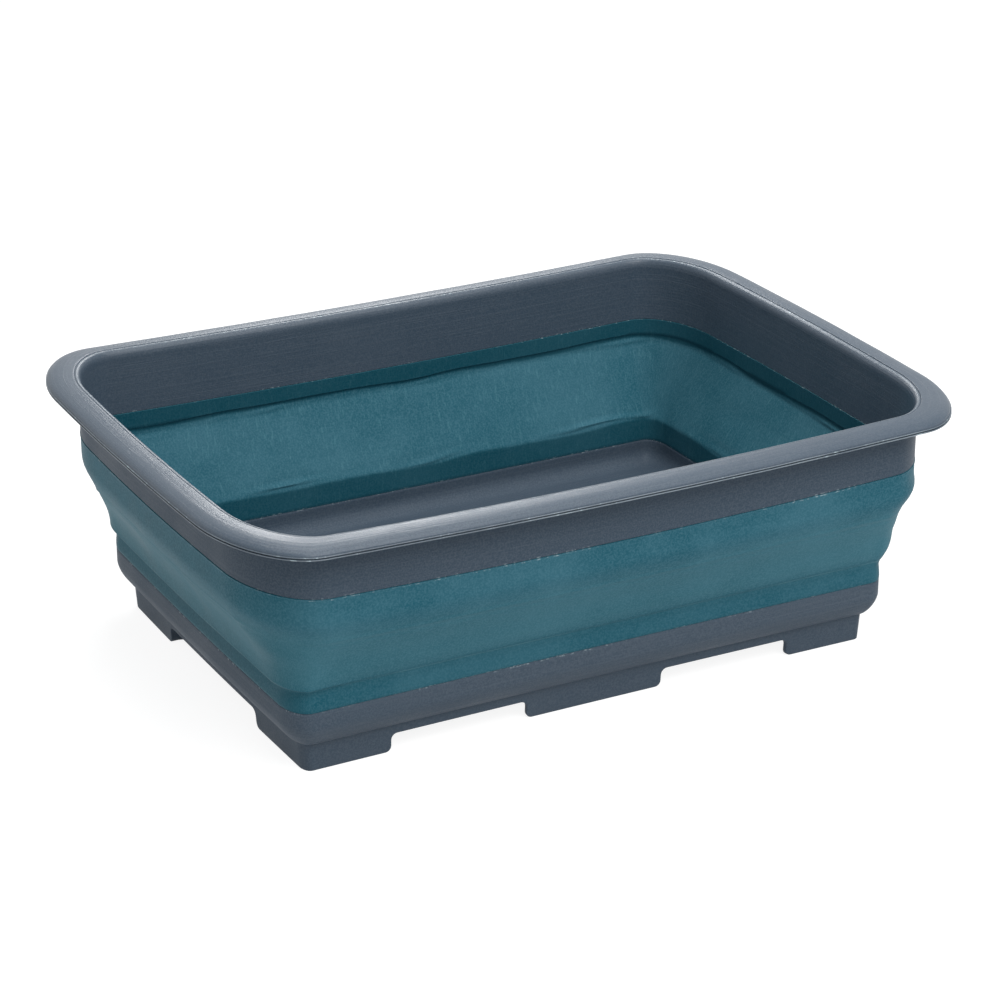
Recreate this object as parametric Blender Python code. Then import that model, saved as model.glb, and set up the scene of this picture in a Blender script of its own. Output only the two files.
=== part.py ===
"""Collapsible wash basin.

The basin is three mouldings joined edge to edge: a stiff polypropylene rim frame, a soft
rubber wall and a stiff polypropylene base tray that stands on a notched foot ring. The
wall's slanted middle turns inside out when the rim is pressed down. That middle is cut
into upright rings, because each of its zones drops by a different amount.

All sizes are metres. The origin is on the floor, under the basin's centre. +X runs along
the long side, +Y along the short side and +Z is up. An inset is the distance inwards from
the rim's outer edge, and a section is a list of (inset, height) points.
"""
import math

import bmesh
import bpy

# Overall size, over the rim at the middle of each side, and up to the rim's corners.
length = 0.380
width = 0.282
height = 0.1257

# Plan shape. The corners get tighter inwards and reach further along the short sides. The
# rim's sides stand out slightly in the middle, less so down at the tray, and its long sides
# hang a little there.
rim_corner_radius = 0.0445
corner_stretch = 0.25
rim_shrink_share = 0.59
wall_shrink_share = 1.44
foot_shrink_share = 0.93
least_corner_radius = 0.002
short_side_crown = 0.0038
long_side_crown = 0.0017
tray_crown_loss = 0.0026
long_side_sag = 0.0027
corner_steps = 9
side_steps = 4

# The gap that is left between neighbouring pieces.
clearance = 0.0003

# Rim frame: an upright wall with a rounded flange that stands out over the rubber.
rim_overhang = 0.0136
rim_wall_thickness = 0.0020
flange_crown_fall = 0.0035
flange_roundness = 4.5
flange_thickness = 0.0022
lip_thickness = 0.0018
lip_drop = 0.0015
lip_edge_radius = 0.0004
rim_edge_radius = 0.0020
flange_fillet = 0.0014
flange_steps = 7
fillet_steps = 3

# The two seams where the rubber is moulded to the stiff plastic. The upper one is a half lap,
# measured down from the top of the rim, whose inner half reaches lower. The lower one is
# measured up from the floor. Its rubber grips a tongue and reaches lower on the inside.
rim_depth = 0.0299
upper_seam_thickness = 0.0036
lap_depth = 0.0027
lower_seam_height = 0.0329
lower_seam_thickness = 0.0032
inner_seam_drop = 0.0031
tongue_thickness = 0.0011
tongue_length = 0.0030

# Rubber wall: its thickness is measured level, and its upper band hangs from the upper seam.
wall_thickness = 0.0026
seam_band_height = 0.0054
seam_taper_height = 0.0024
upper_band_depth = 0.0104
wall_turn_drop = 0.0099
wall_turn_steps = 4
fold_ring_count = 6

# Lower band of the rubber wall, with the thin notch that acts as the lower hinge. Its
# heights are measured up from the lower seam.
lower_band_inset = 0.0293
lower_band_thickness = 0.0034
bulge_rise = 0.0031
notch_rise = 0.0082
notch_depth = 0.0013
fold_bottom_rise = 0.0117

# Base tray: an upright collar that turns under to the foot ring, and a flat floor.
collar_inset = 0.0297
collar_turn_height = 0.0252
collar_turn_width = 0.0078
collar_roundness = 1.5
collar_steps = 6
floor_height = 0.0174
floor_thickness = 0.0022
floor_fillet = 0.0080
floor_fillet_steps = 5

# Foot ring under the tray. It leans in towards the floor and is notched into six feet.
foot_ring_height = 0.0139
foot_ring_thickness = 0.0024
foot_ring_lean = 0.0020
notch_opening_height = 0.0090
foot_corner_radius = 0.0021
foot_corner_steps = 3
middle_foot_half_length = 0.0342
end_foot_start = 0.1075
side_foot_start = 0.0520
foot_return_depth = 0.0060
foot_return_thickness = 0.0024
cut_overrun = 0.0100

# Colours are linear values.
slate_plastic = (0.092, 0.105, 0.132, 1.0)
teal_rubber = (0.030, 0.125, 0.168, 1.0)


def corner_radius(inset):
    """Radius of the corners at one inset: it shrinks slowly in the rim and faster further in."""
    in_rim = min(inset, rim_overhang)
    in_wall = min(max(inset, rim_overhang), collar_inset) - rim_overhang
    in_foot = max(inset, collar_inset) - collar_inset
    radius = (rim_corner_radius - rim_shrink_share * in_rim - wall_shrink_share * in_wall
              - foot_shrink_share * in_foot)
    return max(radius, least_corner_radius)


def outline(inset):
    """Points round the basin at one inset, anticlockwise from the right end's back corner.

    Each comes with its share of the long sides' sag, which is all of it in their middle."""
    half_x = length / 2 - short_side_crown - inset
    half_y = width / 2 - long_side_crown - inset
    radius_x = corner_radius(inset) * (1 - corner_stretch)
    radius_y = corner_radius(inset) * (1 + corner_stretch)
    corners = [(half_x - radius_x, half_y - radius_y, 0), (radius_x - half_x, half_y - radius_y, 1),
               (radius_x - half_x, radius_y - half_y, 2), (half_x - radius_x, radius_y - half_y, 3)]
    arcs = []
    for centre_x, centre_y, quarter in corners:
        arc = []
        for step in range(corner_steps + 1):
            angle = (quarter + step / corner_steps) * math.pi / 2
            arc.append((centre_x + radius_x * math.cos(angle), centre_y + radius_y * math.sin(angle)))
        arcs.append(arc)
    points = []
    for arc, following in zip(arcs, arcs[1:] + arcs[:1]):
        points += arc
        (start_x, start_y), (end_x, end_y) = arc[-1], following[0]
        for step in range(1, side_steps):
            share = step / side_steps
            points.append((start_x + share * (end_x - start_x), start_y + share * (end_y - start_y)))
    tray_share = min(max(inset - rim_overhang, 0) / (collar_inset - rim_overhang), 1)
    crown_loss = tray_crown_loss * tray_share
    return [crowned(x, y, abs(x) / half_x, abs(y) / half_y, crown_loss) for x, y in points]


def crowned(x, y, share_x, share_y, crown_loss):
    """The point moved outwards by the crown of the sides, and its share of the sag."""
    middle_of_short = (1 - share_y ** 2) * share_x ** 4
    middle_of_long = (1 - share_x ** 2) * share_y ** 4
    out_x = (short_side_crown - crown_loss) * middle_of_short
    out_y = (long_side_crown - crown_loss) * middle_of_long
    return x + math.copysign(1, x) * out_x, y + math.copysign(1, y) * out_y, middle_of_long


def sagged(level, sag_share):
    """A height on the basin, lowered by the sag, which fades from the rim down to the tray."""
    hang = (level - lower_seam_height) / (upper_seam_height - lower_seam_height)
    return level - long_side_sag * sag_share * min(max(hang, 0), 1)


def arc_points(centre, radii, start, end, steps, roundness=2.0):
    """Section points along a rounded quarter, from one angle to another in quarter turns."""
    points = []
    for step in range(steps + 1):
        angle = (start + (end - start) * step / steps) * math.pi / 2
        across = math.copysign(abs(math.cos(angle)) ** (2 / roundness), math.cos(angle))
        rise = math.copysign(abs(math.sin(angle)) ** (2 / roundness), math.sin(angle))
        points.append((centre[0] + radii[0] * across, centre[1] + radii[1] * rise))
    return points


def bend_points(start, control, end, steps):
    """Section points along a smooth bend that leaves start and reaches end towards control."""
    points = []
    for step in range(steps + 1):
        share = step / steps
        weights = ((1 - share) ** 2, 2 * share * (1 - share), share ** 2)
        points.append(tuple(sum(weight * point[axis] for weight, point in zip(weights, (start, control, end)))
                            for axis in (0, 1)))
    return points


def material(name, colour, roughness):
    """A plain plastic or rubber finish."""
    finish = bpy.data.materials.new(name)
    finish.use_nodes = True
    shader = finish.node_tree.nodes["Principled BSDF"]
    shader.inputs["Base Color"].default_value = colour
    shader.inputs["Roughness"].default_value = roughness
    shader.inputs["Metallic"].default_value = 0.0
    return finish


def place(bm, name, finish, origin_height, parent=None):
    """Turn a bmesh into a named object with smooth rounded faces."""
    bmesh.ops.recalc_face_normals(bm, faces=bm.faces)
    mesh = bpy.data.meshes.new(name)
    bm.to_mesh(mesh)
    bm.free()
    mesh.materials.append(finish)
    mesh.shade_smooth()
    mesh.set_sharp_from_angle(angle=math.radians(40))
    piece = bpy.data.objects.new(name, mesh)
    bpy.context.collection.objects.link(piece)
    if parent:
        piece.parent = parent
        piece.location.z = origin_height - parent.location.z
    else:
        piece.location.z = origin_height
    return piece


def loft(section, origin_height, capped=False):
    """A body whose section runs once round the basin. A capped one is filled across at both ends."""
    bm = bmesh.new()
    loops = [[bm.verts.new((x, y, sagged(level, sag_share) - origin_height))
              for x, y, sag_share in outline(inset)] for inset, level in section]
    following = loops[1:] if capped else loops[1:] + loops[:1]
    for loop, next_loop in zip(loops, following):
        for index in range(len(loop)):
            bm.faces.new((loop[index - 1], loop[index], next_loop[index], next_loop[index - 1]))
    if capped:
        bm.faces.new(loops[0])
        bm.faces.new(loops[-1])
    return bm


# Heights and insets that more than one piece is built from.
upper_seam_height = height - rim_depth
wall_turn_height = upper_seam_height - upper_band_depth
fold_top_height = wall_turn_height - wall_turn_drop
fold_bottom_height = lower_seam_height + fold_bottom_rise
upper_seam_inner = rim_overhang + upper_seam_thickness
lap_inset = rim_overhang + upper_seam_thickness / 2
lap_height = upper_seam_height - lap_depth
lower_seam_inner = collar_inset + lower_seam_thickness
lower_tongue_middle = collar_inset + lower_seam_thickness / 2
fold_outer_inset = rim_overhang + wall_thickness
fold_inner_inset = lower_band_inset
fold_slope = (fold_top_height - fold_bottom_height) / (fold_inner_inset - fold_outer_inset)
fold_rise = fold_slope * wall_thickness


def fold_height(inset):
    """Height of the slanted panel's outer face at an inset."""
    return fold_top_height - (inset - fold_outer_inset) * fold_slope


def rim_frame():
    """The stiff rim: half lap, upright wall, rounded flange and its small downturned lip."""
    crown_level = height - flange_crown_fall
    lip_bottom = crown_level - lip_drop
    inner_top = rim_overhang + rim_wall_thickness
    under_width = rim_overhang - lip_thickness
    under_rise = flange_crown_fall - flange_thickness
    fillet_share = 1 - flange_fillet / under_width
    underside = arc_points((rim_overhang, crown_level), (under_width, under_rise), 2 - fillet_share,
                           2.0, flange_steps)
    under_start = underside[0]
    section = [(rim_overhang, upper_seam_height), (rim_overhang, under_start[1] - flange_fillet)]
    section += underside
    section += [(lip_thickness, lip_bottom), (lip_edge_radius, lip_bottom), (0, lip_bottom + lip_edge_radius)]
    section += arc_points((rim_overhang, crown_level), (rim_overhang, flange_crown_fall), 2.0, 1.0,
                          flange_steps, flange_roundness)
    section += arc_points((inner_top - rim_edge_radius, height - rim_edge_radius),
                          (rim_edge_radius, rim_edge_radius), 1.0, 0.0, fillet_steps)[1:]
    section += [(upper_seam_inner, lap_height), (lap_inset, lap_height), (lap_inset, upper_seam_height)]
    return place(loft(section, upper_seam_height), "rim_frame", slate, upper_seam_height)


def wall_upper_band(rim):
    """The rubber band under the rim, lapped to it, down to where the wall folds."""
    top = upper_seam_height - clearance
    shoulder = lap_height - clearance
    thick_bottom = upper_seam_height - seam_band_height - clearance
    turn_control = (rim_overhang, fold_height(rim_overhang))
    section = bend_points((rim_overhang, wall_turn_height), turn_control,
                          (fold_outer_inset, fold_top_height), wall_turn_steps)
    section += [(fold_outer_inset, thick_bottom - seam_taper_height), (upper_seam_inner, thick_bottom),
                (upper_seam_inner, shoulder), (lap_inset - clearance, shoulder),
                (lap_inset - clearance, top), (rim_overhang, top)]
    return place(loft(section, upper_seam_height), "wall_upper_band", teal, upper_seam_height, rim)


def wall_fold_ring(index):
    """One upright ring of the slanted panel, counted from the rim inwards."""
    zone_start = fold_outer_inset + clearance
    pitch = (fold_inner_inset - zone_start) / fold_ring_count
    outer = zone_start + index * pitch
    inner = outer + pitch - clearance
    middle = fold_height((outer + inner) / 2)
    section = [(outer, fold_height(outer)), (inner, fold_height(inner)),
               (inner, fold_height(inner) + fold_rise), (outer, fold_height(outer) + fold_rise)]
    return place(loft(section, middle), f"wall_fold_ring_{index + 1}", teal, middle)


def wall_lower_band(tray):
    """The rubber band over the tray: half of the fold's lower edge, the notch and a round bulge."""
    bottom = lower_seam_height + clearance
    inner_bottom = bottom - inner_seam_drop
    groove_half = tongue_thickness / 2 + clearance
    groove_top = lower_seam_height + tongue_length + clearance
    inner = lower_band_inset + lower_band_thickness
    bulge_height = lower_seam_height + bulge_rise
    notch_height = lower_seam_height + notch_rise
    section = [(collar_inset, bottom), (lower_band_inset, bulge_height),
               (lower_band_inset + notch_depth / 3, (bulge_height + notch_height) / 2),
               (lower_band_inset + notch_depth, notch_height), (fold_inner_inset, fold_bottom_height),
               (fold_inner_inset, fold_bottom_height + fold_rise), (inner, fold_height(inner) + fold_rise),
               (lower_seam_inner, groove_top), (lower_seam_inner, inner_bottom),
               (lower_tongue_middle + groove_half, inner_bottom),
               (lower_tongue_middle + groove_half, groove_top),
               (lower_tongue_middle - groove_half, groove_top), (lower_tongue_middle - groove_half, bottom)]
    return place(loft(section, lower_seam_height), "wall_lower_band", teal, lower_seam_height, tray)


def foot_end_profile(flat_end, side):
    """The rounded end of a foot, from the foot's flat bottom up to the rail beside it."""
    radius = foot_corner_radius
    points = [(flat_end, -cut_overrun)]
    for step in range(foot_corner_steps + 1):
        angle = step / foot_corner_steps * math.pi / 2
        points.append((flat_end + side * radius * math.sin(angle), radius * (1 - math.cos(angle))))
    for step in range(foot_corner_steps + 1):
        angle = step / foot_corner_steps * math.pi / 2
        points.append((flat_end + side * radius * (2 - math.cos(angle)),
                       notch_opening_height - radius * (1 - math.sin(angle))))
    return points


def notch_cutter(name, start, end, reach, turned):
    """A bar whose section is one notch of the foot ring, long enough to cut both opposite walls."""
    profile = foot_end_profile(start, 1) + foot_end_profile(end, -1)[::-1]
    bm = bmesh.new()
    face = bm.faces.new([bm.verts.new((along, -reach, level)) for along, level in profile])
    swept = bmesh.ops.extrude_face_region(bm, geom=[face])
    moved = [item for item in swept["geom"] if isinstance(item, bmesh.types.BMVert)]
    bmesh.ops.translate(bm, verts=moved, vec=(0, 2 * reach, 0))
    cutter = place(bm, name, slate, 0)
    cutter.rotation_euler.z = math.pi / 2 if turned else 0
    return hidden(cutter)


def hidden(tool):
    """Mark an object as a tool for a Boolean, which isn't part of the basin."""
    tool.hide_render = True
    tool.display_type = "WIRE"
    return tool


def foot_return(name, low, high):
    """A short wall that turns inwards at the end of a foot."""
    bm = bmesh.new()
    bmesh.ops.create_cube(bm, size=1)
    for vert in bm.verts:
        vert.co = [near if part < 0 else far for part, near, far in zip(vert.co, low, high)]
    return hidden(place(bm, name, slate, 0))


def foot_returns():
    """The return walls at both ends of every foot, two to a notch on each of its two sides."""
    wall_middle = collar_inset + collar_turn_width + foot_ring_thickness
    wall_inner = wall_middle + foot_ring_lean + foot_return_depth
    top = floor_height - floor_thickness / 2
    rail_run = 2 * foot_corner_radius
    tools = []
    for along_x, ends in ((True, (middle_foot_half_length, end_foot_start)), (False, (side_foot_start,))):
        across = (width if along_x else length) / 2 - tray_crown_loss
        for flat_end in ends:
            outwards = flat_end == middle_foot_half_length
            low_end = flat_end - (foot_return_thickness - foot_corner_radius if outwards else rail_run)
            high_end = flat_end + (rail_run if outwards else foot_return_thickness - foot_corner_radius)
            for side in (-1, 1):
                for half in (-1, 1):
                    span = sorted((side * low_end, side * high_end))
                    wall = sorted((half * (across - wall_inner), half * (across - wall_middle)))
                    first, second = (span, wall) if along_x else (wall, span)
                    tools.append(foot_return(f"foot_return_{len(tools) + 1}", (first[0], second[0], 0),
                                             (first[1], second[1], top)))
    return tools


def combine(piece, tool, operation):
    """Join a tool to a piece, or cut it away."""
    modifier = piece.modifiers.new(tool.name, "BOOLEAN")
    modifier.operation = operation
    modifier.object = tool


def base_tray():
    """The stiff tray: floor, inner fillet, collar with its tongue, and the notched foot ring."""
    collar_end = collar_inset + collar_turn_width
    ring_bottom = collar_end + foot_ring_lean
    floor_edge = lower_seam_inner + floor_fillet
    fillet_centre = (floor_edge, floor_height + floor_fillet)
    section = arc_points(fillet_centre, (floor_fillet, floor_fillet), 3.0, 2.0, floor_fillet_steps)
    section += [(lower_seam_inner, lower_seam_height - inner_seam_drop),
                (lower_tongue_middle + tongue_thickness / 2, lower_seam_height - inner_seam_drop),
                (lower_tongue_middle + tongue_thickness / 2, lower_seam_height + tongue_length),
                (lower_tongue_middle - tongue_thickness / 2, lower_seam_height + tongue_length),
                (lower_tongue_middle - tongue_thickness / 2, lower_seam_height),
                (collar_inset, lower_seam_height)]
    section += arc_points((collar_end, collar_turn_height),
                          (collar_turn_width, collar_turn_height - foot_ring_height), 2.0, 3.0,
                          collar_steps, collar_roundness)
    section += [(ring_bottom, 0), (ring_bottom + foot_ring_thickness, 0),
                (collar_end + foot_ring_thickness, floor_height - floor_thickness)]
    tray = place(loft(section, 0, capped=True), "base_tray", slate, 0)
    for tool in foot_returns():
        combine(tray, tool, "UNION")
    for name, start, end, reach, turned in (
            ("notch_left", -end_foot_start, -middle_foot_half_length, width / 2, False),
            ("notch_right", middle_foot_half_length, end_foot_start, width / 2, False),
            ("notch_ends", -side_foot_start, side_foot_start, length / 2, True)):
        combine(tray, notch_cutter(name, start, end, reach, turned), "DIFFERENCE")
    return tray


for old in list(bpy.data.objects):
    bpy.data.objects.remove(old)

slate = material("slate polypropylene", slate_plastic, 0.45)
teal = material("teal rubber", teal_rubber, 0.55)

tray = base_tray()
wall_lower_band(tray)
rim = rim_frame()
wall_upper_band(rim)
for index in range(fold_ring_count):
    wall_fold_ring(index)
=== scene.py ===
import math

import bpy
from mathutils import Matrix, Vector, noise


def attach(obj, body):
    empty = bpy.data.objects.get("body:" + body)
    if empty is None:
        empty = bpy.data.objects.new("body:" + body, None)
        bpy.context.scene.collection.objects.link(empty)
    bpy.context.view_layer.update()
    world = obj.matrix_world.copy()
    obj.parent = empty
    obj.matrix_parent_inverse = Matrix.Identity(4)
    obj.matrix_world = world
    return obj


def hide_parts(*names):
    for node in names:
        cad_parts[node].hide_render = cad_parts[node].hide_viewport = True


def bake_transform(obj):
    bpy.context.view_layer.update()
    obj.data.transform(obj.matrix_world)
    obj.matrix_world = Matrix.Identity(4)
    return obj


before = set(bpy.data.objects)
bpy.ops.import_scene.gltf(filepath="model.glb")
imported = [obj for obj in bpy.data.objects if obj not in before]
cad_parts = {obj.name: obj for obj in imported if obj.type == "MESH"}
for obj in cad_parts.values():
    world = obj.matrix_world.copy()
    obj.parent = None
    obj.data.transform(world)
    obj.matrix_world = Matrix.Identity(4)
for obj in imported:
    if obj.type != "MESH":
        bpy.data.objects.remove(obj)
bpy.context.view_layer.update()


# Rim frame. The real piece is one stiff polypropylene moulding: an upright wall that laps over
# the rubber, and a rounded flange that stands out over it and ends in a beaded lip. It comes
# out of a two-part mould, which leaves the fine groove on top and the double bead on the lip.
length = 0.380
width = 0.282
height = 0.1257
rim_corner_radius = 0.0445
corner_stretch = 0.25
radius_shares = ((0.0, 0.59), (0.0136, 1.44), (0.0297, 0.93))
least_corner_radius = 0.002
short_side_crown = 0.0038
long_side_crown = 0.0017
tray_crown_loss = 0.0026
long_side_sag = 0.0027
corner_columns = 16
long_straight = 0.1460
short_straight = 0.0925
column_pitch = 0.0048
rim_overhang = 0.0136
collar_inset = 0.0297
upper_seam = 0.0958
upper_seam_inset = 0.0172
lap = (0.0154, 0.0931)
lower_seam = 0.0329
lip_top = 0.1222
lip_bottom = 0.1207
upright_fillet = 0.0014
bead_radii = (0.00042, 0.00034)
upper_bead_radii = (0.00034, 0.00033)
bead_groove_inset = 0.00110
flange_fall = 0.0035
flange_waviness = 0.00012
flash_depth = 0.0003
flash_least = 0.35


def side_marks(straight, pitch):
    """Evenly spaced places along one straight side, measured from its middle."""
    half_count = round(straight / pitch)
    return [straight * step / (half_count + 0.5) for step in range(-half_count, half_count + 1)]


def columns_round(long_marks, short_marks):
    """The columns of a ring, anticlockwise from the back right corner: corner arcs and side marks."""
    columns = []
    for quarter in range(4):
        columns += [(quarter, step / corner_columns, None) for step in range(corner_columns + 1)]
        columns += [(quarter, None, mark) for mark in (short_marks if quarter % 2 else long_marks)]
    return columns


def corner_radius(inset):
    """Radius of the basin's corners at one inset: it shrinks by a share of the inset, zone by zone."""
    radius = rim_corner_radius
    for (start, share), (end, _) in zip(radius_shares, radius_shares[1:] + ((length, 0.0),)):
        radius -= share * max(0.0, min(inset, end) - start)
    return max(radius, least_corner_radius)


def place_column(column, inset):
    """A column's place on the plan at one inset from the rim's outer edge, and its share of the sag."""
    quarter, turn, mark = column
    half = (length / 2 - short_side_crown - inset, width / 2 - long_side_crown - inset)
    radii = (corner_radius(inset) * (1 - corner_stretch), corner_radius(inset) * (1 + corner_stretch))
    straight = (half[0] - radii[0], half[1] - radii[1])
    if mark is None:
        angle = (quarter + turn) * math.pi / 2
        x = math.copysign(straight[0], (1, -1, -1, 1)[quarter]) + radii[0] * math.cos(angle)
        y = math.copysign(straight[1], (1, 1, -1, -1)[quarter]) + radii[1] * math.sin(angle)
    elif quarter % 2 == 0:
        facing = 1 - quarter
        x = -facing * mark * min(1, straight[0] / long_straight)
        y = facing * half[1]
    else:
        facing = quarter - 2
        x = facing * half[0]
        y = facing * mark * min(1, straight[1] / short_straight)
    share_x, share_y = abs(x) / half[0], abs(y) / half[1]
    crown_loss = tray_crown_loss * min(max(inset - rim_overhang, 0) / (collar_inset - rim_overhang), 1)
    middle_of_long = (1 - share_x ** 2) * share_y ** 4
    x += math.copysign(1, x) * (short_side_crown - crown_loss) * (1 - share_y ** 2) * share_x ** 4
    y += math.copysign(1, y) * (long_side_crown - crown_loss) * middle_of_long
    return x, y, middle_of_long


def sagged(level, sag_share):
    """A height on the basin, lowered by the long sides' sag, which fades from the rim to the tray."""
    hang = min(max((level - lower_seam) / (upper_seam - lower_seam), 0), 1)
    return level - long_side_sag * sag_share * hang


def girth_marks(columns):
    """The distance of each column along the basin's girth, and the whole girth."""
    points = [Vector(place_column(column, rim_overhang)[:2]) for column in columns]
    marks = [0.0]
    for point, following in zip(points, points[1:] + points[:1]):
        marks.append(marks[-1] + (following - point).length)
    return marks[:-1], marks[-1]


def arc(centre, radii, start, end, steps, roundness=2.0):
    """Section points (inset, height) along a rounded corner, from one angle to another in quarters."""
    points = []
    for step in range(steps + 1):
        angle = (start + (end - start) * step / steps) * math.pi / 2
        across = math.copysign(abs(math.cos(angle)) ** (2 / roundness), math.cos(angle))
        rise = math.copysign(abs(math.sin(angle)) ** (2 / roundness), math.sin(angle))
        points.append((centre[0] + radii[0] * across, centre[1] + radii[1] * rise))
    return points


def run(start, end, steps):
    """Section points evenly along a straight line, without its first point."""
    return [(start[0] + (end[0] - start[0]) * step / steps, start[1] + (end[1] - start[1]) * step / steps)
            for step in range(1, steps + 1)]


def drawn_lengths(section):
    """The distance of each section point along the section."""
    drawn = [0.0]
    for (inset, level), (next_inset, next_level) in zip(section, section[1:]):
        drawn.append(drawn[-1] + math.hypot(next_inset - inset, next_level - level))
    return drawn


def mould_ring(name, columns, section, settle=None, capped=False):
    """A circle extruded row by row, closed end to end, and then moved on to the basin's plan."""
    bpy.ops.object.select_all(action="DESELECT")
    bpy.ops.mesh.primitive_circle_add(vertices=len(columns), radius=length / 2)
    ring = bpy.context.object
    ring.name = ring.data.name = name
    bpy.ops.object.mode_set(mode="EDIT")
    bpy.ops.mesh.select_mode(type="VERT")
    bpy.ops.mesh.select_all(action="SELECT")
    for _ in section[1:]:
        bpy.ops.mesh.extrude_region_move(TRANSFORM_OT_translate={"value": (0, 0, 1)})
    if capped:
        for end in (0, len(section) - 1):
            bpy.ops.mesh.select_all(action="DESELECT")
            bpy.ops.object.mode_set(mode="OBJECT")
            for vert in ring.data.vertices:
                vert.select = round(vert.co.z) == end
            bpy.ops.object.mode_set(mode="EDIT")
            bpy.ops.mesh.edge_face_add()
    else:
        bpy.ops.mesh.select_all(action="DESELECT")
        bpy.ops.mesh.select_non_manifold()
        bpy.ops.mesh.bridge_edge_loops()
    bpy.ops.object.mode_set(mode="OBJECT")

    marks, girth = girth_marks(columns)
    drawn = drawn_lengths(section)
    along = ring.data.attributes.new("along", "FLOAT_VECTOR", "POINT")
    for index, vert in enumerate(ring.data.vertices):
        row = round(vert.co.z)
        number = round(math.atan2(-vert.co.x, vert.co.y) / math.tau * len(columns)) % len(columns)
        column, (inset, level) = columns[number], section[row]
        if settle:
            column, inset, level = settle(number, row, column, inset, level)
        x, y, sag_share = place_column(column, inset)
        vert.co = (x, y, sagged(level, sag_share))
        turn = marks[number] / girth * math.tau
        round_radius = girth / math.tau
        along.data[index].vector = (round_radius * math.cos(turn), round_radius * math.sin(turn), drawn[row])
    bpy.ops.object.mode_set(mode="EDIT")
    bpy.ops.mesh.select_all(action="SELECT")
    bpy.ops.mesh.normals_make_consistent(inside=False)
    bpy.ops.object.mode_set(mode="OBJECT")
    return ring


def finish_smooth(piece, angle):
    """Smooth shading that keeps the edges sharper than an angle in degrees."""
    bpy.ops.object.select_all(action="DESELECT")
    piece.select_set(True)
    bpy.context.view_layer.objects.active = piece
    bpy.ops.object.shade_smooth_by_angle(angle=math.radians(angle))


basin_columns = columns_round(side_marks(long_straight, column_pitch),
                              side_marks(short_straight, column_pitch))

# The upright's outside, from the seam to the fillet under the flange.
rim_section = [(rim_overhang, upper_seam + 0.0002)]
rim_section += run(rim_section[-1], (rim_overhang, lip_top - 0.0005), 12)
rim_section += arc((rim_overhang - upright_fillet, lip_top - 0.0005), (upright_fillet, 0.0016),
                   0.0, 0.92, 4)[1:]
upright_end_row = len(rim_section) - 1

# The flange's underside, the bottom of its lip and the two beads with their groove.
rim_section += arc((rim_overhang, lip_top), (rim_overhang - 0.0018, 0.0013), 1.24, 1.96, 8)
rim_section += [(0.0018, lip_top - 0.0004), (0.0017, lip_bottom + 0.0002), (0.0014, lip_bottom),
                (0.0006, lip_bottom)]
bead_rows = [len(rim_section) + 3]
rim_section += arc((0.00044, lip_bottom + 0.00034), bead_radii, 3.0, 1.0, 6)
rim_section += [(bead_groove_inset, lip_bottom + 0.00072), (bead_groove_inset, lip_bottom + 0.00108)]
bead_rows += [len(rim_section) + 4]
rim_section += arc((0.00042, lip_bottom + 0.00143), upper_bead_radii, 3.0, 1.2, 6)

# The flange's top, the mould's parting groove, and the rounded crest down to the inside.
rim_section += arc((0.0119, lip_top), (0.0114, flange_fall), 1.975, 1.02, 24, 2.2)
rim_section += arc((0.0120, height - 0.00030), (0.00030, 0.00030), 1.0, 0.0, 3)
rim_section += [(0.01238, height - 0.00055)]
crest_row = len(rim_section) + 1
rim_section += arc((0.0127, 0.1197), (0.0029, 0.0058), 0.98, 0.0, 12, 2.4)

# The inside, and the half lap that closes the section at the seam.
rim_section += run(rim_section[-1], (upper_seam_inset - 0.0001, lap[1] + 0.0002), 10)
rim_seam_rows = (0, len(rim_section) - 1)
rim_section += [(upper_seam_inset - 0.0003, lap[1]), (lap[0], lap[1]), (lap[0], upper_seam),
                (rim_overhang + 0.0002, upper_seam)]
rim_marks, rim_girth = girth_marks(basin_columns)


def ripple(girth_place, level, spread, seed):
    """Smooth unevenness of a moulding, from -1 to 1, that closes on itself round the basin."""
    turn = girth_place / rim_girth * math.tau
    radius = rim_girth / math.tau / spread
    return noise.noise(Vector((radius * math.cos(turn) + seed, radius * math.sin(turn), level / spread)))


def settle_rim(number, row, column, inset, level):
    """The slight unevenness of the flange and its beads, and specks of flash along the seam."""
    if inset < rim_overhang - 0.0005:
        uneven = ripple(rim_marks[number], level, spread=0.030, seed=3.0)
        level = min(level + flange_waviness * uneven, height)
    if abs(level - upper_seam) < 0.0004 and inset < rim_overhang + 0.0004:
        speck = ripple(rim_marks[number], level, spread=0.004, seed=9.0)
        inset -= flash_depth * max(0, speck - flash_least)
    return column, inset, level


rim = mould_ring("rim_moulding", basin_columns, rim_section, settle_rim)
finish_smooth(rim, 38)


def add_node(tree, kind, inputs=None, **settings):
    """One shader node with its settings. Each input gets a value, or is joined to a socket."""
    made = tree.nodes.new(kind)
    for setting, value in settings.items():
        setattr(made, setting, value)
    for socket, value in (inputs or {}).items():
        if isinstance(value, bpy.types.NodeSocket):
            tree.links.new(value, made.inputs[socket])
        else:
            made.inputs[socket].default_value = value
    return made


def arithmetic(tree, operation, first, second=0.0, third=0.0):
    """A Math node, as its output socket."""
    made = add_node(tree, "ShaderNodeMath", {0: first, 1: second, 2: third}, operation=operation)
    return made.outputs[0]


def remap(tree, value, low, high, to_low=0.0, to_high=1.0):
    """A smooth Map Range from one span to another, as its output socket."""
    made = add_node(tree, "ShaderNodeMapRange", {"Value": value, "From Min": low, "From Max": high,
                                                 "To Min": to_low, "To Max": to_high},
                    interpolation_type="SMOOTHSTEP")
    return made.outputs["Result"]


def blend_colour(tree, share, first, second):
    """A colour mixed from two, as its output socket."""
    made = add_node(tree, "ShaderNodeMix", {0: share, 6: first, 7: second}, data_type="RGBA")
    return made.outputs[2]


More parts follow.
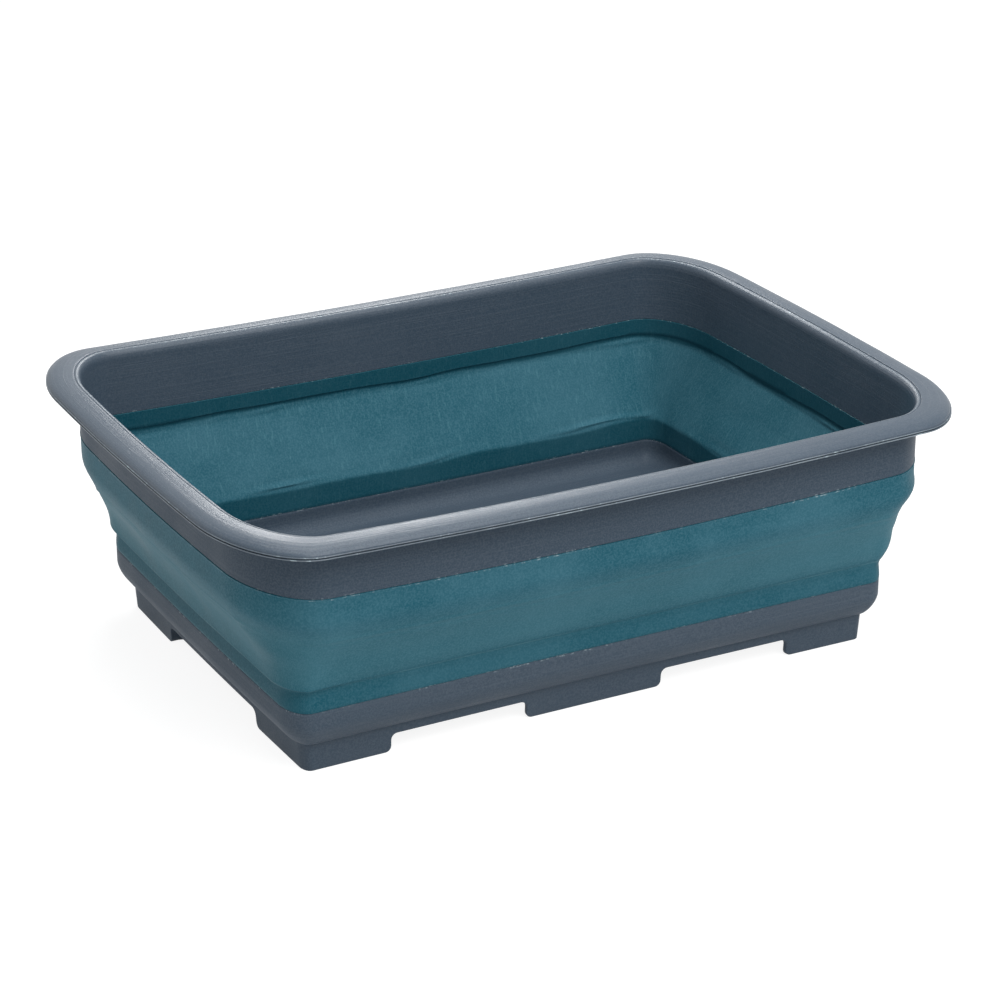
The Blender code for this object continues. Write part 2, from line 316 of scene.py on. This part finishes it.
def new_group(name, inputs, outputs):
    """A new shader node group, with its inputs to take from and its outputs to give to."""
    group = bpy.data.node_groups.new(name, "ShaderNodeTree")
    for socket, kind, value in inputs:
        made = group.interface.new_socket(socket, in_out="INPUT", socket_type=kind)
        if value is not None:
            made.default_value = value
    for socket in outputs:
        group.interface.new_socket(socket, in_out="OUTPUT", socket_type="NodeSocketFloat")
    return group, group.nodes.new("NodeGroupInput").outputs, group.nodes.new("NodeGroupOutput").inputs


def use_group(tree, group, inputs):
    """Places a node group in a tree, as its output sockets."""
    return add_node(tree, "ShaderNodeGroup", inputs, node_tree=group).outputs


# Matt grain of a moulded surface: a fine grain for the bump, and slow blotches for colour and gloss.
matt_grain, taken, given = new_group(
    "matt grain",
    [("Place", "NodeSocketVector", None), ("Grain Scale", "NodeSocketFloat", 1200.0),
     ("Blotch Scale", "NodeSocketFloat", 28.0)],
    ["Grain", "Blotch"])
fine = add_node(matt_grain, "ShaderNodeTexNoise",
                {"Vector": taken["Place"], "Scale": taken["Grain Scale"], "Detail": 2.0, "Roughness": 0.6})
slow = add_node(matt_grain, "ShaderNodeTexNoise",
                {"Vector": taken["Place"], "Scale": taken["Blotch Scale"], "Detail": 4.0, "Roughness": 0.55})
matt_grain.links.new(fine.outputs[0], given["Grain"])
matt_grain.links.new(slow.outputs[0], given["Blotch"])

# Drawn marks: fine lines that run with the moulding, or down it, as streaks and light scratches do.
drawn_marks, taken, given = new_group(
    "drawn marks",
    [("Along", "NodeSocketVector", None), ("Round Scale", "NodeSocketFloat", 8.0),
     ("Down Scale", "NodeSocketFloat", 900.0), ("Least", "NodeSocketFloat", 0.5),
     ("Most", "NodeSocketFloat", 0.75)],
    ["Marks"])
apart = add_node(drawn_marks, "ShaderNodeSeparateXYZ", {"Vector": taken["Along"]}).outputs
stretched = add_node(drawn_marks, "ShaderNodeCombineXYZ", {
    "X": arithmetic(drawn_marks, "MULTIPLY", apart[0], taken["Round Scale"]),
    "Y": arithmetic(drawn_marks, "MULTIPLY", apart[1], taken["Round Scale"]),
    "Z": arithmetic(drawn_marks, "MULTIPLY", apart[2], taken["Down Scale"])})
lines = add_node(drawn_marks, "ShaderNodeTexNoise",
                 {"Vector": stretched.outputs[0], "Scale": 1.0, "Detail": 3.0, "Roughness": 0.65,
                  "Distortion": 0.7})
limits = add_node(drawn_marks, "ShaderNodeMapRange",
                  {"Value": lines.outputs[0], "From Min": taken["Least"], "From Max": taken["Most"]})
drawn_marks.links.new(limits.outputs["Result"], given["Marks"])

# Seam line: 1 on a thin line at one drawn length, and flecks of pale flash scattered beside it.
seam_line, taken, given = new_group(
    "seam line",
    [("Along", "NodeSocketVector", None), ("Level", "NodeSocketFloat", 0.0),
     ("Seam", "NodeSocketFloat", 0.0), ("Half Width", "NodeSocketFloat", 0.0004),
     ("Fleck Reach", "NodeSocketFloat", 0.0006), ("Fleck Least", "NodeSocketFloat", 0.52)],
    ["Line", "Flecks"])
off = arithmetic(seam_line, "ABSOLUTE", arithmetic(seam_line, "SUBTRACT", taken["Level"], taken["Seam"]))
near, close = [arithmetic(seam_line, "MAXIMUM", arithmetic(
    seam_line, "SUBTRACT", 1.0, arithmetic(seam_line, "DIVIDE", off, taken[reach])), 0.0)
    for reach in ("Half Width", "Fleck Reach")]
specks = add_node(seam_line, "ShaderNodeTexNoise",
                  {"Vector": taken["Along"], "Scale": 420.0, "Detail": 2.0, "Roughness": 0.6})
patches = add_node(seam_line, "ShaderNodeTexNoise",
                   {"Vector": taken["Along"], "Scale": 22.0, "Detail": 1.0, "Roughness": 0.5})
where = arithmetic(seam_line, "MULTIPLY",
                   remap(seam_line, specks.outputs[0], taken["Fleck Least"], 0.72),
                   remap(seam_line, patches.outputs[0], 0.38, 0.60))
seam_line.links.new(near, given["Line"])
seam_line.links.new(arithmetic(seam_line, "MULTIPLY", where, close), given["Flecks"])

# Slate finish, for all of the stiff plastic: its colours, and the material made of them.
slate = (0.041, 0.065, 0.095, 1.0)
slate_worn = (0.092, 0.118, 0.150, 1.0)
pale_flash = (0.42, 0.52, 0.56, 1.0)
# A pale colour, painted on as highlight lines along the beads and the crest.
painted_highlight_line_colour = (0.34, 0.40, 0.44, 1.0)


def new_finish(name):
    """A new material with its Principled shader."""
    finish = bpy.data.materials.new(name)
    finish.use_nodes = True
    return finish, finish.node_tree, finish.node_tree.nodes["Principled BSDF"]


def slate_finish(name, roughness, gloss, seams, painted_lines=()):
    """Slate polypropylene: streaks along the moulding, flash at its seams, and painted highlight lines along
    given edges.
    """
    finish, tree, shader = new_finish(name)
    place = add_node(tree, "ShaderNodeTexCoord").outputs["Object"]
    along = add_node(tree, "ShaderNodeAttribute", attribute_name="along").outputs["Vector"]
    grain = use_group(tree, matt_grain, {"Place": place})
    streaks = use_group(tree, drawn_marks,
                        {"Along": along, "Round Scale": 9.0, "Down Scale": 1300.0})["Marks"]
    drawn = add_node(tree, "ShaderNodeSeparateXYZ", {"Vector": along}).outputs["Z"]
    body = blend_colour(tree, arithmetic(tree, "MULTIPLY", grain["Blotch"], 0.25), slate, slate_worn)
    body = blend_colour(tree, remap(tree, grain["Grain"], 0.35, 0.68, 0.0, 0.50), body, slate_worn)
    body = blend_colour(tree, arithmetic(tree, "MULTIPLY", streaks, 0.32), body, slate_worn)
    # Painted highlights: a pale line along each given edge, uneven in strength, with pale flecks beside it.
    for line, share in painted_lines:
        edge = use_group(tree, seam_line, {"Along": along, "Level": drawn, "Seam": line,
                                           "Half Width": 0.00060, "Fleck Least": 0.56})
        uneven = remap(tree, grain["Blotch"], 0.4, 0.62, share * 0.4, share)
        body = blend_colour(tree, arithmetic(tree, "MULTIPLY", edge["Line"], uneven), body, painted_highlight_line_colour)
        body = blend_colour(tree, arithmetic(tree, "MULTIPLY", edge["Flecks"], 0.9), body, pale_flash)
    for seam in seams:
        flash = use_group(tree, seam_line, {"Along": along, "Level": drawn, "Seam": seam})
        body = blend_colour(tree, arithmetic(tree, "MULTIPLY", flash["Flecks"], 0.65), body, pale_flash)
    tree.links.new(body, shader.inputs["Base Color"])
    rough = remap(tree, grain["Blotch"], 0.3, 0.7, roughness - 0.05, roughness + 0.05)
    tree.links.new(arithmetic(tree, "MULTIPLY_ADD", streaks, -0.06, rough), shader.inputs["Roughness"])
    shader.inputs["Specular IOR Level"].default_value = gloss
    relief = arithmetic(tree, "ADD", arithmetic(tree, "MULTIPLY", grain["Grain"], 0.5),
                        arithmetic(tree, "MULTIPLY", streaks, 2.2))
    bump = add_node(tree, "ShaderNodeBump", {"Height": relief, "Strength": 0.4, "Distance": 0.00007})
    tree.links.new(bump.outputs[0], shader.inputs["Normal"])
    return finish


rim_drawn = drawn_lengths(rim_section)
# The two beads and the crest get painted highlight lines.
rim.data.materials.append(slate_finish(
    "slate polypropylene, flange", 0.37, 0.38, [rim_drawn[row] for row in rim_seam_rows],
    [(rim_drawn[bead_rows[0]], 0.6), (rim_drawn[bead_rows[1]], 0.45), (rim_drawn[crest_row], 0.2)]))

# The upright's outside is matt, from the seam to the fillet under the flange.
rim.data.materials.append(slate_finish(
    "slate polypropylene, matt upright", 0.52, 0.115, [rim_drawn[rim_seam_rows[0]]]))
drawn_to = [place.vector.z for place in rim.data.attributes["along"].data]
for face in rim.data.polygons:
    if max(drawn_to[corner] for corner in face.vertices) < rim_drawn[upright_end_row] + 0.00001:
        face.material_index = 1
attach(rim, "rim")
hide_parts("rim_frame")


# Folding wall. The real piece is one soft teal rubber moulding, moulded on to both stiff pieces:
# an upright band, a slanted panel that turns inside out when the basin is pushed flat, a thin
# notch that it hinges on, and a lower band. Use has left soft creases along its bends.
wall_top = upper_seam - 0.00006
band_bottom = 0.0854
fold_top = (0.0162, 0.0755)
panel_bottom = (0.0280, 0.0477)
lip_edge = (0.0290, 0.0453)
inner_band_inset = 0.0163
low_band_inset = 0.0327
tongue_slot = (0.0305, 0.0321, 0.0033)
inner_seam = 0.0298

# How far the rubber departs from that section, at which height, and how far up and down it fades.
panel_hollow = (0.0007, 0.0605, 0.0120)
notch_swell = (0.0003, 0.0424, 0.0026)
corner_shoulder = (0.0007, 0.0815, 0.0080)
corner_belly = (0.0018, 0.0510, 0.0110)
corner_dent = (0.0017, 0.0720, 0.0105)
loose_middle = (1.0, 0.0615, 0.0260)
upper_bend = (1.0, 0.0836, 0.0060)
lower_bend = (1.0, 0.0418, 0.0060)
lip_overhang = 0.0002
left_end_overhang = 0.0019

# Waves round the basin (size, spread, seed), for the rubber itself and for where its creases run.
panel_waves = ((0.0005, 0.045, 1.0), (0.00022, 0.011, 5.0))
outer_crease_level = 0.0726
outer_crease_waves = ((0.0012, 0.050, 2.0), (0.0004, 0.012, 6.0))
upper_crease_level = 0.0815
upper_crease_wave = (0.0014, 0.040, 7.0)
lower_crease_level = 0.0442
lower_crease_wave = (0.0022, 0.034, 15.0)
bend_wave = (0.0016, 0.038, 21.0)


def bend(start, control, end, steps):
    """Section points along a smooth bend that leaves start and reaches end towards control."""
    points = []
    for step in range(1, steps + 1):
        share = step / steps
        weights = ((1 - share) ** 2, 2 * share * (1 - share), share ** 2)
        points.append(tuple(sum(weight * point[axis] for weight, point in zip(weights, (start, control, end)))
                            for axis in (0, 1)))
    return points


# The outside, from a fine bead at the upper seam down the band and the panel to its lip.
wall_section = [(rim_overhang + 0.0002, wall_top), (rim_overhang - 0.0001, wall_top - 0.0001),
                (rim_overhang - 0.00022, wall_top - 0.0003), (rim_overhang - 0.0001, wall_top - 0.0005),
                (rim_overhang, wall_top - 0.0008)]
wall_section += run(wall_section[-1], (rim_overhang, band_bottom), 9)
wall_section += bend(wall_section[-1], (rim_overhang, 0.0816), fold_top, 10)
fold_row = len(wall_section) - 1
wall_section += run(fold_top, panel_bottom, 28)
wall_section += run(wall_section[-1], lip_edge, 5)
lip_row = len(wall_section) - 1

# The notch under the lip, and the lower band down to the lower seam.
wall_section += bend(wall_section[-1], (0.0295, 0.0442), (0.0300, 0.0434), 5)
wall_section += bend(wall_section[-1], (0.0304, 0.0426), (0.0302, 0.0406), 6)
wall_section += bend(wall_section[-1], (0.0297, 0.0368), (0.0296, 0.0346), 5)
wall_section += [(0.02965, lower_seam + 0.0004), (0.0299, lower_seam + 0.0001)]
outer_rows = len(wall_section)

# The slot that grips the tray's tongue.
slot_outside, slot_inside, slot_height = tongue_slot
wall_section += [(slot_outside, lower_seam + 0.0001), (slot_outside, lower_seam + slot_height),
                 (slot_inside, lower_seam + slot_height), (slot_inside, inner_seam + 0.0001),
                 (low_band_inset, inner_seam + 0.0001), (low_band_inset + 0.0002, inner_seam + 0.0004)]
inner_seam_row = len(wall_section) - 1

# The inside, up the lower band, the panel and the upper band, and the half lap under the rim.
wall_section += run(wall_section[-1], (low_band_inset, 0.0404), 7)
low_bend_row = len(wall_section) + 1
wall_section += bend(wall_section[-1], (low_band_inset, 0.0420), (0.0320, 0.0434), 6)
wall_section += run(wall_section[-1], (0.0176, 0.0782), 32)
wall_section += bend(wall_section[-1], (inner_band_inset, 0.0808), (inner_band_inset, 0.0824), 6)
high_bend_row = len(wall_section) - 1
wall_section += bend(wall_section[-1], (inner_band_inset, 0.0838), (upper_seam_inset, 0.0848), 5)
wall_section += run(wall_section[-1], (upper_seam_inset, lap[1] - 0.0003), 6)
wall_section += [(upper_seam_inset - 0.0002, lap[1] - 0.0001), (lap[0] - 0.0001, lap[1] - 0.0001),
                 (lap[0] - 0.0001, wall_top)]
bead_row = 3
wall_seam_rows = (bead_row, outer_rows - 1, inner_seam_row, len(wall_section) - 3)


def grown(value, start, span):
    """A share that grows from 0 at a start to 1 at a span's end."""
    return min(1.0, max(0.0, (value - start) / span))


def hump(level, size, middle, reach):
    """A smooth hump of a size at its middle height, that is gone a reach above and below it."""
    share = min(1.0, abs(level - middle) / reach)
    return size * (1 - share * share) ** 2


def wave(place, size, spread, seed):
    """A slow wave round the basin, the same at every height."""
    return size * ripple(place, 0.0, spread, seed)


def settle_wall(number, row, column, inset, level):
    """The rubber's unevenness: soft waves, the overhang of the lower fold and creases at the bends."""
    place = rim_marks[number]
    turn, mark = column[1:]
    corner = math.sin(turn * math.pi) ** 0.7 if mark is None else 0.0
    x = place_column(column, rim_overhang)[0]
    at_left_end = grown(-x, 0.125, 0.040)
    off_left_end = grown(x, -0.160, 0.050)
    for size, spread, seed in panel_waves:
        inset += size * hump(level, *loose_middle) * ripple(place, level, spread, seed)
    if row < outer_rows:
        inset += hump(level, *panel_hollow)
        lip = grown(-level, -0.0560, 0.0105) ** 2 * grown(level, 0.0437, 0.0012)
        inset -= (lip_overhang + left_end_overhang * at_left_end) * lip
        inset -= off_left_end * hump(level, *notch_swell)
        inset -= corner * off_left_end * (hump(level, *corner_shoulder) + hump(level, *corner_belly))
        inset += corner * hump(level, *corner_dent)
        crease = outer_crease_level + sum(wave(place, *sizes) for sizes in outer_crease_waves)
        flatness = 1 - 0.8 * corner
        inset -= flatness * hump(level, 0.00028, crease, 0.0014)
        inset += flatness * hump(level, 0.00022, crease - 0.0022, 0.0018)
    else:
        upper_depth = max(0.0, wave(place, 1.0, 0.030, 12.0) + 0.12)
        upper_crease = upper_crease_level + wave(place, *upper_crease_wave)
        inset += upper_depth * hump(level, 0.0012, upper_crease, 0.0018)
        lower_depth = max(0.0, wave(place, 1.0, 0.036, 18.0) + 0.15)
        lower_crease = lower_crease_level + wave(place, *lower_crease_wave)
        inset += lower_depth * hump(level, 0.0014, lower_crease, 0.0017)
        level += wave(place, *bend_wave) * (hump(level, *upper_bend) + hump(level, *lower_bend))
    return column, inset, level


wall = mould_ring("folding_wall", basin_columns, wall_section, settle_wall)
finish_smooth(wall, 40)

teal = (0.012, 0.094, 0.134, 1.0)
teal_pale = (0.078, 0.202, 0.260, 1.0)
# Deep teal: painted shade on the bands beside the panel.
teal_painted_shade = (0.004, 0.058, 0.082, 1.0)
# Scuffed teal: the colour of the scratches, and also painted light on the panels and painted highlight on the
# lip.
teal_scuffed_and_lit = (0.105, 0.270, 0.320, 1.0)
rubber, tree, shader = new_finish("teal rubber")
shader.inputs["Specular IOR Level"].default_value = 0.08
place = add_node(tree, "ShaderNodeTexCoord").outputs["Object"]
along = add_node(tree, "ShaderNodeAttribute", attribute_name="along").outputs["Vector"]
grain = use_group(tree, matt_grain, {"Place": along, "Grain Scale": 1100.0, "Blotch Scale": 22.0})
scratches = use_group(tree, drawn_marks, {"Along": along, "Round Scale": 800.0, "Down Scale": 150.0,
                                          "Least": 0.55, "Most": 0.70})["Marks"]
folds = use_group(tree, drawn_marks, {"Along": along, "Round Scale": 10.0, "Down Scale": 150.0,
                                      "Least": 0.45, "Most": 0.75})["Marks"]
body = blend_colour(tree, remap(tree, grain["Blotch"], 0.35, 0.7, 0.0, 0.35), teal, teal_pale)
body = blend_colour(tree, remap(tree, grain["Grain"], 0.35, 0.68, 0.0, 0.44), body, teal_pale)
body = blend_colour(tree, arithmetic(tree, "MULTIPLY", folds, 0.12), body, teal_pale)
wall_drawn = drawn_lengths(wall_section)
drawn = add_node(tree, "ShaderNodeSeparateXYZ", {"Vector": along}).outputs["Z"]
scratches = arithmetic(tree, "MULTIPLY", scratches, remap(
    tree, drawn, wall_drawn[outer_rows], wall_drawn[outer_rows + 2], 0.15, 1.0))
body = blend_colour(tree, arithmetic(tree, "MULTIPLY", scratches, 0.32), body, teal_scuffed_and_lit)
waving = arithmetic(tree, "MULTIPLY_ADD", grain["Blotch"], 0.006, arithmetic(tree, "SUBTRACT", drawn, 0.003))

# Painted light and shade: the stretched panel is painted paler, outside and inside, for the light it catches,
# and the bands next to it are painted deeper, as shade under the lip and the rim.
painted_light_and_shade_zones = ((fold_row, lip_row, 0.0060, 0.19, teal_scuffed_and_lit),
         (lip_row, outer_rows + 2, 0.0012, 0.22, teal_painted_shade),
         (outer_rows + 2, low_bend_row, 0.0008, 0.52, teal_painted_shade),
         (low_bend_row, high_bend_row, 0.0010, 0.07, teal_scuffed_and_lit),
         (high_bend_row, len(wall_drawn) - 1, 0.0008, 0.62, teal_painted_shade))
for start, end, soft, share, shade in painted_light_and_shade_zones:
    low, high = wall_drawn[start], wall_drawn[end]
    painted_light_mask = arithmetic(tree, "MULTIPLY", remap(tree, waving, low - soft, low + soft),
                      remap(tree, waving, high - soft, high + soft, 1.0, 0.0))
    body = blend_colour(tree, arithmetic(tree, "MULTIPLY", painted_light_mask, share), body, shade)
for row in wall_seam_rows:
    flash = use_group(tree, seam_line, {"Along": along, "Level": drawn, "Seam": wall_drawn[row]})
    body = blend_colour(tree, arithmetic(tree, "MULTIPLY", flash["Line"], 0.25), body, teal_pale)
    body = blend_colour(tree, arithmetic(tree, "MULTIPLY", flash["Flecks"], 0.85), body, pale_flash)

# A painted highlight along the lip over the notch, stronger in some places than in others.
lip = use_group(tree, seam_line, {"Along": along, "Level": drawn, "Seam": wall_drawn[lip_row + 3],
                                  "Half Width": 0.0007})
lip_painted_highlight = arithmetic(tree, "MULTIPLY", lip["Line"], remap(tree, grain["Blotch"], 0.42, 0.62, 0.05, 0.45))
body = blend_colour(tree, lip_painted_highlight, body, teal_scuffed_and_lit)
tree.links.new(body, shader.inputs["Base Color"])
tree.links.new(remap(tree, grain["Blotch"], 0.3, 0.7, 0.46, 0.58), shader.inputs["Roughness"])
relief = arithmetic(tree, "ADD", arithmetic(tree, "MULTIPLY", grain["Grain"], 0.6),
                    arithmetic(tree, "MULTIPLY", scratches, 1.2))
bump = add_node(tree, "ShaderNodeBump", {"Height": relief, "Strength": 0.4, "Distance": 0.00008})
tree.links.new(bump.outputs[0], shader.inputs["Normal"])
wall.data.materials.append(rubber)
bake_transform(wall)
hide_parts("wall_upper_band", "wall_lower_band", "wall_fold_ring_1", "wall_fold_ring_2",
            "wall_fold_ring_3", "wall_fold_ring_4", "wall_fold_ring_5", "wall_fold_ring_6")


# Base tray. The real piece is one stiff polypropylene moulding: a flat floor, a round collar that
# turns under, and a foot ring that leans in towards the table. The ring is notched into six
# feet, which turn inwards at the short sides' notches. A tongue on the collar holds the rubber.
collar_turn = (0.0375, 0.0252)
collar_radii = (0.0078, 0.0113)
collar_roundness = 1.5
ring_top = 0.0139
ring_lean = 0.0010
ring_thickness = 0.0024
ring_edge = 0.0005
notch_rise = 0.0090
foot_corner = 0.0030
foot_corner_steps = 5
middle_foot_end = 0.0333
end_foot_start = 0.1094
side_foot_start = 0.0529
return_depth = 0.0060
return_thickness = 0.0033
floor_level = 0.0174
floor_underside = 0.0152
floor_fillet = 0.0080
floor_edge = 0.0329
tray_tongue = (0.03075, 0.03185, 0.0030)
top_gap = 0.0006
foot_gap = 0.0004


def foot_end(flat_end, side):
    """The columns of a foot's rounded end: (mark at the top, mark, height, way in, can turn inwards)."""
    points = []
    for step in range(foot_corner_steps + 1):
        angle = step / foot_corner_steps * math.pi / 2
        points.append((foot_corner * math.sin(angle), foot_corner * (1 - math.cos(angle)),
                       (-math.sin(angle), math.cos(angle))))
    for share in (0.33, 0.67):
        points.append((foot_corner, foot_corner + share * (notch_rise - 2 * foot_corner), (-1.0, 0.0)))
    for step in range(foot_corner_steps + 1):
        angle = step / foot_corner_steps * math.pi / 2
        points.append((foot_corner * (2 - math.cos(angle)), notch_rise - foot_corner * (1 - math.sin(angle)),
                       (-math.cos(angle), math.sin(angle))))
    inner = -(return_thickness - foot_corner)
    columns = [(flat_end + side * (inner - 2 * top_gap), flat_end + side * (inner - foot_gap),
                0.0, (0.0, 1.0), False)]
    top_start, top_end = inner - top_gap, 2 * foot_corner + top_gap
    for number, (out, rise, way) in enumerate(points):
        top = top_start + (top_end - top_start) * number / (len(points) - 1)
        columns.append((flat_end + side * top, flat_end + side * out, rise, (side * way[0], way[1]), True))
    columns.append((flat_end + side * (top_end + top_gap), flat_end + side * (2 * foot_corner + foot_gap),
                    notch_rise, (0.0, 1.0), False))
    return columns[::side]


def side_columns(straight, ends, feet_at_middle):
    """The columns of one side of the tray, with the foot ends that stand on it."""
    foot_ends = [foot_end(sign * flat_end, sign * side) for flat_end, side in ends for sign in (1, -1)]
    detailed = [column for group in foot_ends for column in group]
    for mark in side_marks(straight, column_pitch):
        if any(group[0][0] - 0.0010 < mark < group[-1][0] + 0.0010 for group in foot_ends):
            continue
        passed = sum(1 for flat_end, _ in ends if abs(mark) > flat_end)
        on_foot = (passed % 2 == 0) == feet_at_middle
        detailed.append((mark, mark, 0.0 if on_foot else notch_rise, (0.0, 1.0), False))
    return sorted(detailed)


long_columns = side_columns(long_straight, ((middle_foot_end, 1), (end_foot_start, -1)), True)
short_columns = side_columns(short_straight, ((side_foot_start, -1),), False)
tray_columns, tray_feet = [], []
for quarter in range(4):
    for step in range(corner_columns + 1):
        tray_columns.append((quarter, step / corner_columns, None))
        tray_feet.append((None, 0.0, (0.0, 1.0), False))
    for top, mark, rise, way, at_foot_end in (short_columns if quarter % 2 else long_columns):
        tray_columns.append((quarter, None, top))
        tray_feet.append((mark, rise, way, at_foot_end))

tray_section = [(0.1250, floor_level), (0.0900, floor_level), (0.0600, floor_level), (0.0450, floor_level)]
tray_section += arc((floor_edge + floor_fillet, floor_level + floor_fillet), (floor_fillet, floor_fillet),
                    3.0, 2.0, 10)
tray_section += [(floor_edge, 0.0285), (floor_edge, inner_seam - 0.0003), (floor_edge - 0.0002, inner_seam),
                 (tray_tongue[1], inner_seam), (tray_tongue[1], lower_seam + tray_tongue[2]),
                 (tray_tongue[0], lower_seam + tray_tongue[2]), (tray_tongue[0], lower_seam),
                 (collar_inset + 0.0002, lower_seam), (collar_inset, lower_seam - 0.0003)]
tray_seam_rows = (len(tray_section) - 7, len(tray_section) - 1)
tray_section += run(tray_section[-1], (collar_inset, collar_turn[1]), 5)
tray_section += arc(collar_turn, collar_radii, 2.0, 2.97, 14, collar_roundness)[1:]
tray_section += [(collar_turn[0] - 0.0001, ring_top)]

# The foot ring's rows follow. Each column then gets its own heights in them.
skirt_start = len(tray_section)
skirt_shares = (0.15, 0.4, 0.7, 1.0)
edge_steps = 4
skirt_rows = [("outer", share) for share in skirt_shares]
skirt_rows += [("outer edge", step / edge_steps) for step in range(1, edge_steps + 1)]
skirt_rows += [("under", 0.5)]
skirt_rows += [("inner edge", 1 - step / edge_steps) for step in range(edge_steps)]
skirt_rows += [("inner", share) for share in (1.0, 0.5, 0.0)]
tray_section += [(collar_turn[0] + ring_lean, 0.0) for _ in skirt_rows]
tray_section += [(0.0500, floor_underside), (0.0700, floor_underside), (0.1250, floor_underside)]


def settle_tray(number, row, column, inset, level):
    """Leaves the tray as it is, but gives each column of the foot ring its own foot, notch or rail."""
    if not skirt_start <= row < skirt_start + len(skirt_rows):
        return column, inset, level
    kind, share = skirt_rows[row - skirt_start]
    quarter, turn, top = column
    mark, rise, way, at_foot_end = tray_feet[number]
    on_short_side = quarter % 2
    depth = ring_thickness + (return_depth if at_foot_end and on_short_side else 0.0)
    if kind in ("outer edge", "inner edge"):
        angle = share * math.pi / 2
        off, sunk = ring_edge * (1 - math.sin(angle)), ring_edge * (1 - math.cos(angle))
    elif kind == "under":
        off, sunk = 0.0, 0.0
    else:
        off, sunk = ring_edge, 0.0
    low_mark = None if mark is None else mark + off * way[0]
    low_level = rise + off * way[1]
    if kind in ("outer", "inner"):
        start = ring_top if kind == "outer" else floor_underside
        level = start + share * (low_level - start)
        if mark is not None:
            column = (quarter, turn, top + share * (low_mark - top))
    else:
        level = low_level
        if mark is not None:
            column = (quarter, turn, low_mark)
    outer_inset = collar_turn[0] + ring_lean * (ring_top - level) / ring_top
    if kind.startswith("outer"):
        inset = outer_inset + sunk
    elif kind == "under":
        inset = outer_inset + depth / 2
    else:
        inset = outer_inset + depth - sunk
    return column, inset, level


tray_drawn = drawn_lengths(tray_section)
tray = mould_ring("base_moulding", tray_columns, tray_section, settle_tray, capped=True)
finish_smooth(tray, 38)
tray.data.materials.append(slate_finish(
    "slate polypropylene, base", 0.62, 0.26, [tray_drawn[row] for row in tray_seam_rows]))
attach(tray, "base")
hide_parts("base_tray")


# Studio. The basin stands on a plain white table that runs on behind it, under soft light from
# all round and three soft lamps: a broad one in front, a broad one overhead and a small one behind.
bpy.ops.object.select_all(action="DESELECT")
bpy.ops.mesh.primitive_plane_add(size=24.0, location=(0, 0, 0))
table = bpy.context.object
table.name = "table"


def seen_or_mirrored(tree):
    """1 for rays from the camera and for those that come by gloss or through glass, 0 for the rest."""
    seen = add_node(tree, "ShaderNodeLightPath").outputs
    indirect = arithmetic(tree, "MAXIMUM", seen["Is Glossy Ray"], seen["Is Transmission Ray"])
    return arithmetic(tree, "MAXIMUM", seen["Is Camera Ray"], indirect)


white_table, tree, _ = new_finish("white table")
tree.nodes.clear()
matt = add_node(tree, "ShaderNodeBsdfDiffuse", {"Color": (0.76, 0.76, 0.76, 1.0)})
bright = add_node(tree, "ShaderNodeEmission", {"Color": (1.0, 1.0, 1.0, 1.0), "Strength": 0.89})
dim = add_node(tree, "ShaderNodeBsdfDiffuse", {"Color": (0.26, 0.26, 0.26, 1.0)})
lifted = add_node(tree, "ShaderNodeAddShader")
tree.links.new(bright.outputs[0], lifted.inputs[0])
tree.links.new(dim.outputs[0], lifted.inputs[1])
chosen = add_node(tree, "ShaderNodeMixShader",
                  {0: seen_or_mirrored(tree), 1: matt.outputs[0], 2: lifted.outputs[0]})
add_node(tree, "ShaderNodeOutputMaterial", {"Surface": chosen.outputs[0]})
table.data.materials.append(white_table)

world = bpy.context.scene.world or bpy.data.worlds.new("studio")
bpy.context.scene.world = world
world.use_nodes = True
tree = world.node_tree
tree.nodes.clear()
strength = add_node(tree, "ShaderNodeMapRange",
                    {"Value": seen_or_mirrored(tree), "To Min": 0.40, "To Max": 1.0})
backdrop = add_node(tree, "ShaderNodeBackground",
                    {"Color": (1.0, 1.0, 1.0, 1.0), "Strength": strength.outputs["Result"]})
add_node(tree, "ShaderNodeOutputWorld", {"Surface": backdrop.outputs[0]})

for name, place, size, energy in (("soft lamp in front", (0.10, -0.90, 1.10), (1.0, 0.8), 11.5),
                                  ("soft lamp overhead", (0.18, 0.05, 1.30), (1.1, 0.9), 8.3),
                                  ("soft lamp behind", (0.20, 0.52, 0.44), (0.28, 0.22), 1.7)):
    lamp_data = bpy.data.lights.new(name, "AREA")
    lamp_data.shape = "RECTANGLE"
    lamp_data.size, lamp_data.size_y = size
    lamp_data.energy = energy
    lamp = bpy.data.objects.new(name, lamp_data)
    lamp.location = place
    lamp.rotation_euler = (Vector((0, 0, 0.06)) - lamp.location).to_track_quat("-Z", "Y").to_euler()
    bpy.context.scene.collection.objects.link(lamp)

# The camera looks from the photograph's side. Its offset takes the place of a lens shift.
azimuth, elevation = math.radians(-27.98), math.radians(23.06)
camera_distance = 1.53371
camera_target = Vector((0, 0, 0.0590))
camera_offset = (0.00324, 0.00482)
back = Vector((math.sin(azimuth) * math.cos(elevation), -math.cos(azimuth) * math.cos(elevation),
               math.sin(elevation)))
right = Vector((0, 0, 1)).cross(back).normalized()
up = back.cross(right)
camera_data = bpy.data.cameras.new("camera")
camera_data.sensor_width = 36.0
camera_data.lens = 114.55
camera = bpy.data.objects.new("camera", camera_data)
camera.location = camera_target + back * camera_distance + right * camera_offset[0] + up * camera_offset[1]
turned = camera.rotation_euler.to_matrix()
for axis, direction in enumerate((right, up, back)):
    turned.col[axis] = direction
camera.rotation_euler = turned.to_euler()
bpy.context.scene.collection.objects.link(camera)
bpy.context.scene.camera = camera
bpy.context.scene.view_settings.view_transform = "Standard"
